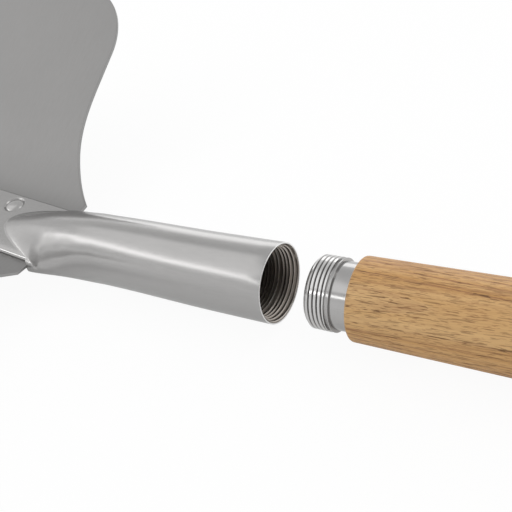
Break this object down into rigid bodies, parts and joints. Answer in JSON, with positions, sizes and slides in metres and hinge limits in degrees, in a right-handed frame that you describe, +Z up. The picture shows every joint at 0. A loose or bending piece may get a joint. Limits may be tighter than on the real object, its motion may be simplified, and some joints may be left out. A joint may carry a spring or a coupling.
{
  "type": "garden spade",
  "caption": "Garden spade: a dished steel blade riveted to a flattened socket tube, with a wooden T-grip handle that screws into the socket.",
  "frame": {"origin": "on the ground under the middle of the spade's length, which lies bowl side up", "axes": "+X along the tube from the blade to the grip, +Y across the blade, +Z up on the bowl side"},
  "size_m": [1.0313, 0.2702, 0.0961],
  "materials": {
    "satin_steel": "satin stainless steel",
    "bright_steel": "turned steel",
    "pale_hardwood": "oiled open-pored hardwood"
  },
  "bodies": {
    "head": {"blade": "satin_steel", "socket_tube": "satin_steel", "threaded_bush": "bright_steel", "tang_rivet_left": "bright_steel", "tang_rivet_right": "bright_steel", "tang_rivet_rear": "bright_steel"},
    "handle": {"threaded_ferrule": "bright_steel", "tenon_screw": "bright_steel", "wooden_shaft": "pale_hardwood", "crossbar_grip": "pale_hardwood", "grip_pin": "bright_steel"}
  },
  "joints": [
    {"name": "handle_slide", "type": "slide", "parent": "head", "child": "handle", "axis": [1, 0, 0], "range_m": [-0.0304, 0.03]}
  ]
}
